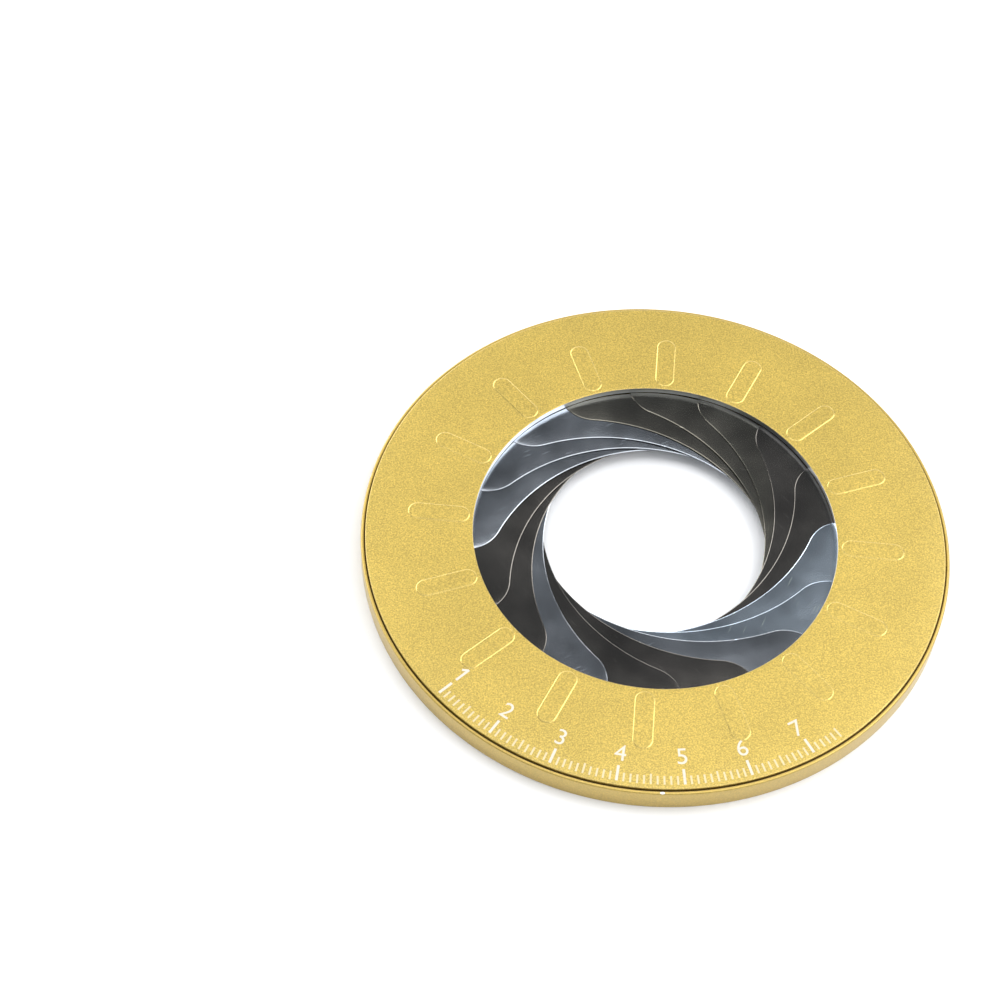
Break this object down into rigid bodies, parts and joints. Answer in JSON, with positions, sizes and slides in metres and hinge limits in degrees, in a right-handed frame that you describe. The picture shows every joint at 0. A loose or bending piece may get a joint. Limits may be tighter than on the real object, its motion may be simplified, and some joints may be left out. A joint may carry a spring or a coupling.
{
  "type": "adjustable circle template",
  "caption": "Flat gold ring with a turning dial that opens and closes an iris of thin steel leaves, for drawing circles of any size.",
  "frame": {"origin": "centre of the base ring's underside", "axes": "+Z is the ring's axis, up through the dial's face; the index dot on the rim is at -Y"},
  "size_m": [0.1242, 0.1242, 0.0059],
  "materials": {
    "gold_dial": "gold anodised over a fine blasted grain",
    "gold_base": "gold anodised, turned rim",
    "leaf_steel": "rolled spring steel, near mirror, lightly scratched",
    "pin_steel": "turned",
    "wire_steel": "drawn spring wire, dark",
    "white_print": "white enamel"
  },
  "bodies": {
    "base": {"base_ring": "gold_base", "retaining_ring": "wire_steel", "index_dot": "white_print"},
    "dial": {"dial_ring": "gold_dial"},
    "blade_01": {"leaf_01": "leaf_steel", "pivot_pin_01": "pin_steel", "guide_pin_01": "pin_steel"},
    "blade_02": {"leaf_02": "leaf_steel", "pivot_pin_02": "pin_steel", "guide_pin_02": "pin_steel"},
    "blade_03": {"leaf_03": "leaf_steel", "pivot_pin_03": "pin_steel", "guide_pin_03": "pin_steel"},
    "blade_04": {"leaf_04": "leaf_steel", "pivot_pin_04": "pin_steel", "guide_pin_04": "pin_steel"},
    "blade_05": {"leaf_05": "leaf_steel", "pivot_pin_05": "pin_steel", "guide_pin_05": "pin_steel"},
    "blade_06": {"leaf_06": "leaf_steel", "pivot_pin_06": "pin_steel", "guide_pin_06": "pin_steel"},
    "blade_07": {"leaf_07": "leaf_steel", "pivot_pin_07": "pin_steel", "guide_pin_07": "pin_steel"},
    "blade_08": {"leaf_08": "leaf_steel", "pivot_pin_08": "pin_steel", "guide_pin_08": "pin_steel"},
    "blade_09": {"leaf_09": "leaf_steel", "pivot_pin_09": "pin_steel", "guide_pin_09": "pin_steel"},
    "blade_10": {"leaf_10": "leaf_steel", "pivot_pin_10": "pin_steel", "guide_pin_10": "pin_steel"},
    "blade_11": {"leaf_11": "leaf_steel", "pivot_pin_11": "pin_steel", "guide_pin_11": "pin_steel"},
    "blade_12": {"leaf_12": "leaf_steel", "pivot_pin_12": "pin_steel", "guide_pin_12": "pin_steel"},
    "blade_13": {"leaf_13": "leaf_steel", "pivot_pin_13": "pin_steel", "guide_pin_13": "pin_steel"},
    "blade_14": {"leaf_14": "leaf_steel", "pivot_pin_14": "pin_steel", "guide_pin_14": "pin_steel"},
    "blade_15": {"leaf_15": "leaf_steel", "pivot_pin_15": "pin_steel", "guide_pin_15": "pin_steel"},
    "blade_16": {"leaf_16": "leaf_steel", "pivot_pin_16": "pin_steel", "guide_pin_16": "pin_steel"}
  },
  "joints": [
    {"name": "dial_turn", "type": "hinge", "parent": "base", "child": "dial", "pos_m": [0, 0, 0.005], "axis": [0, 0, 1], "range_deg": [-36.5, 47.3]},
    {"name": "leaf_01_swing", "type": "hinge", "parent": "base", "child": "blade_01", "pos_m": [-0.00326, 0.04889, 0.001], "axis": [0, 0, 1], "range_deg": [-17.4, 22.5]},
    {"name": "leaf_02_swing", "type": "hinge", "parent": "base", "child": "blade_02", "pos_m": [-0.02172, 0.04392, 0.001], "axis": [0, 0, 1], "range_deg": [-17.4, 22.5]},
    {"name": "leaf_03_swing", "type": "hinge", "parent": "base", "child": "blade_03", "pos_m": [-0.03688, 0.03227, 0.001], "axis": [0, 0, 1], "range_deg": [-17.4, 22.5]},
    {"name": "leaf_04_swing", "type": "hinge", "parent": "base", "child": "blade_04", "pos_m": [-0.04642, 0.0157, 0.001], "axis": [0, 0, 1], "range_deg": [-17.4, 22.5]},
    {"name": "leaf_05_swing", "type": "hinge", "parent": "base", "child": "blade_05", "pos_m": [-0.04889, -0.00326, 0.001], "axis": [0, 0, 1], "range_deg": [-17.4, 22.5]},
    {"name": "leaf_06_swing", "type": "hinge", "parent": "base", "child": "blade_06", "pos_m": [-0.04392, -0.02172, 0.001], "axis": [0, 0, 1], "range_deg": [-17.4, 22.5]},
    {"name": "leaf_07_swing", "type": "hinge", "parent": "base", "child": "blade_07", "pos_m": [-0.03227, -0.03688, 0.001], "axis": [0, 0, 1], "range_deg": [-17.4, 22.5]},
    {"name": "leaf_08_swing", "type": "hinge", "parent": "base", "child": "blade_08", "pos_m": [-0.0157, -0.04642, 0.001], "axis": [0, 0, 1], "range_deg": [-17.4, 22.5]},
    {"name": "leaf_09_swing", "type": "hinge", "parent": "base", "child": "blade_09", "pos_m": [0.00326, -0.04889, 0.001], "axis": [0, 0, 1], "range_deg": [-17.4, 22.5]},
    {"name": "leaf_10_swing", "type": "hinge", "parent": "base", "child": "blade_10", "pos_m": [0.02172, -0.04392, 0.001], "axis": [0, 0, 1], "range_deg": [-17.4, 22.5]},
    {"name": "leaf_11_swing", "type": "hinge", "parent": "base", "child": "blade_11", "pos_m": [0.03688, -0.03227, 0.001], "axis": [0, 0, 1], "range_deg": [-17.4, 22.5]},
    {"name": "leaf_12_swing", "type": "hinge", "parent": "base", "child": "blade_12", "pos_m": [0.04642, -0.0157, 0.001], "axis": [0, 0, 1], "range_deg": [-17.4, 22.5]},
    {"name": "leaf_13_swing", "type": "hinge", "parent": "base", "child": "blade_13", "pos_m": [0.04889, 0.00326, 0.001], "axis": [0, 0, 1], "range_deg": [-17.4, 22.5]},
    {"name": "leaf_14_swing", "type": "hinge", "parent": "base", "child": "blade_14", "pos_m": [0.04392, 0.02172, 0.001], "axis": [0, 0, 1], "range_deg": [-17.4, 22.5]},
    {"name": "leaf_15_swing", "type": "hinge", "parent": "base", "child": "blade_15", "pos_m": [0.03227, 0.03688, 0.001], "axis": [0, 0, 1], "range_deg": [-17.4, 22.5]},
    {"name": "leaf_16_swing", "type": "hinge", "parent": "base", "child": "blade_16", "pos_m": [0.0157, 0.04642, 0.001], "axis": [0, 0, 1], "range_deg": [-17.4, 22.5]}
  ],
  "couplings": [
    {"joint": "leaf_01_swing", "follows": "dial_turn", "ratio": 0.475},
    {"joint": "leaf_02_swing", "follows": "dial_turn", "ratio": 0.475},
    {"joint": "leaf_03_swing", "follows": "dial_turn", "ratio": 0.475},
    {"joint": "leaf_04_swing", "follows": "dial_turn", "ratio": 0.475},
    {"joint": "leaf_05_swing", "follows": "dial_turn", "ratio": 0.475},
    {"joint": "leaf_06_swing", "follows": "dial_turn", "ratio": 0.475},
    {"joint": "leaf_07_swing", "follows": "dial_turn", "ratio": 0.475},
    {"joint": "leaf_08_swing", "follows": "dial_turn", "ratio": 0.475},
    {"joint": "leaf_09_swing", "follows": "dial_turn", "ratio": 0.475},
    {"joint": "leaf_10_swing", "follows": "dial_turn", "ratio": 0.475},
    {"joint": "leaf_11_swing", "follows": "dial_turn", "ratio": 0.475},
    {"joint": "leaf_12_swing", "follows": "dial_turn", "ratio": 0.475},
    {"joint": "leaf_13_swing", "follows": "dial_turn", "ratio": 0.475},
    {"joint": "leaf_14_swing", "follows": "dial_turn", "ratio": 0.475},
    {"joint": "leaf_15_swing", "follows": "dial_turn", "ratio": 0.475},
    {"joint": "leaf_16_swing", "follows": "dial_turn", "ratio": 0.475}
  ]
}
